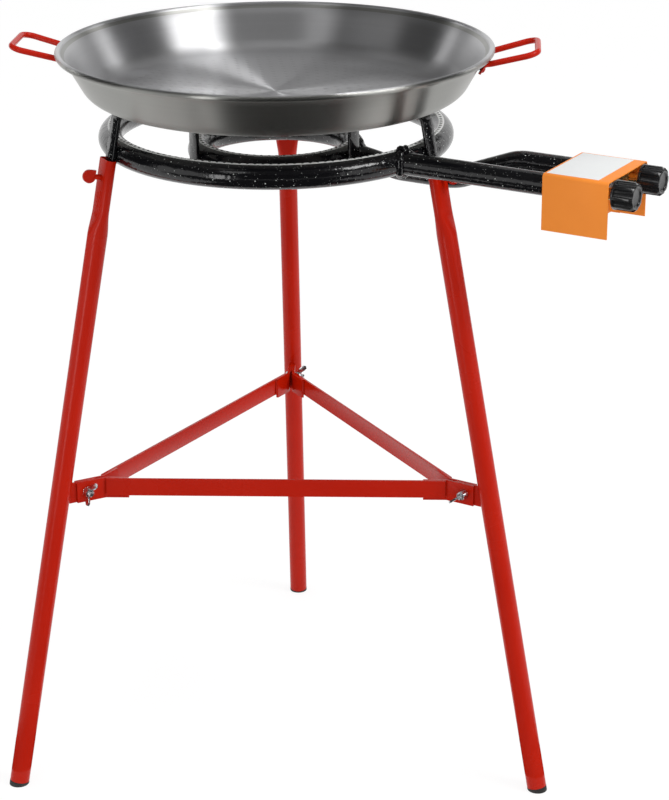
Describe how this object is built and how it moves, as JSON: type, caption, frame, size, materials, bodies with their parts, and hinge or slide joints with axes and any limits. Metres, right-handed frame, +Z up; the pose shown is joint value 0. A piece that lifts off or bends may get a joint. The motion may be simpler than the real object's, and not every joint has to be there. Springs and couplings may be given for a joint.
{
  "type": "paella burner",
  "caption": "Gas paella burner: two ring burners under flat-bar pan supports on a braced red tripod, a polished steel pan with red handles on top, and two tap knobs.",
  "frame": {"origin": "middle of the whole object's box, on the floor under the three feet", "axes": "+Z up; -Y towards the pictured front, with the front brace parallel to X; the gas taps are on the +X, -Y side and the rear leg is on the +Y side"},
  "size_m": [0.7538, 0.6494, 0.8655],
  "materials": {
    "pan_steel": "polished steel with fine turning marks",
    "red_paint": "gloss red baked paint",
    "black_enamel": "gloss black enamel with fine white speckles",
    "plug_plastic": "matt black",
    "zinc": "bright zinc plate",
    "orange_paint": "satin orange paint",
    "rail_steel": "drawn steel",
    "brass": "machined",
    "knob_plastic": "gloss black"
  },
  "bodies": {
    "stand": {"outer_ring": "black_enamel", "inner_ring": "black_enamel", "support_left": "black_enamel", "support_right": "black_enamel", "support_rear": "black_enamel", "leg_left": "red_paint", "leg_right": "red_paint", "leg_rear": "red_paint", "foot_plug_left": "plug_plastic", "foot_plug_right": "plug_plastic", "foot_plug_rear": "plug_plastic", "brace_front": "red_paint", "brace_right": "red_paint", "brace_left": "red_paint", "brace_bolt_left": "zinc", "brace_bolt_right": "zinc", "brace_bolt_rear": "zinc", "brace_washers": "zinc", "heat_cover": "orange_paint", "cross_plate": "orange_paint", "gas_rail": "rail_steel", "rail_screws": "zinc", "hose_nozzle": "brass", "tap_outer": "brass", "tap_inner": "brass", "jet_outer": "brass", "jet_inner": "brass"},
    "pan": {"pan_shell": "pan_steel", "pan_handle_left": "red_paint", "pan_handle_right": "red_paint", "pan_rivets_left": "pan_steel", "pan_rivets_right": "pan_steel"},
    "tap_outer_control": {"knob_outer": "knob_plastic", "spindle_outer": "rail_steel"},
    "tap_inner_control": {"knob_inner": "knob_plastic", "spindle_inner": "rail_steel"},
    "screw_left": {"leg_screw_left": "red_paint"},
    "nut_left": {"wing_nut_left": "zinc"},
    "screw_right": {"leg_screw_right": "red_paint"},
    "nut_right": {"wing_nut_right": "zinc"},
    "screw_rear": {"leg_screw_rear": "red_paint"},
    "nut_rear": {"wing_nut_rear": "zinc"}
  },
  "joints": [
    {"name": "pan_lift", "type": "slide", "parent": "stand", "child": "pan", "axis": [0, 0, 1], "range_m": [0, 0.2]},
    {"name": "tap_outer_turn", "type": "hinge", "parent": "stand", "child": "tap_outer_control", "pos_m": [0.32643, -0.30635, 0.758], "axis": [0.8788, -0.4772, 0], "range_deg": [0, 210]},
    {"name": "tap_inner_turn", "type": "hinge", "parent": "stand", "child": "tap_inner_control", "pos_m": [0.35984, -0.24483, 0.758], "axis": [0.8788, -0.4772, 0], "range_deg": [0, 210]},
    {"name": "leg_screw_left_turn", "type": "hinge", "parent": "stand", "child": "screw_left", "pos_m": [-0.24783, -0.15813, 0.73534], "axis": [-0.8495, -0.4905, 0.1942], "continuous": true},
    {"name": "leg_screw_right_turn", "type": "hinge", "parent": "stand", "child": "screw_right", "pos_m": [0.13968, -0.15813, 0.73534], "axis": [0.8495, -0.4905, 0.1942], "continuous": true},
    {"name": "leg_screw_rear_turn", "type": "hinge", "parent": "stand", "child": "screw_rear", "pos_m": [-0.05408, 0.17747, 0.73534], "axis": [0, 0.981, 0.1942], "continuous": true},
    {"name": "wing_nut_left_turn", "type": "hinge", "parent": "stand", "child": "nut_left", "pos_m": [-0.27041, -0.18156, 0.362], "axis": [0.5, -0.866, 0], "continuous": true},
    {"name": "wing_nut_right_turn", "type": "hinge", "parent": "stand", "child": "nut_right", "pos_m": [0.16226, -0.18156, 0.362], "axis": [-0.5, -0.866, 0], "continuous": true},
    {"name": "wing_nut_rear_turn", "type": "hinge", "parent": "stand", "child": "nut_rear", "pos_m": [-0.04508, 0.20874, 0.362], "axis": [1, 0, 0], "continuous": true}
  ]
}
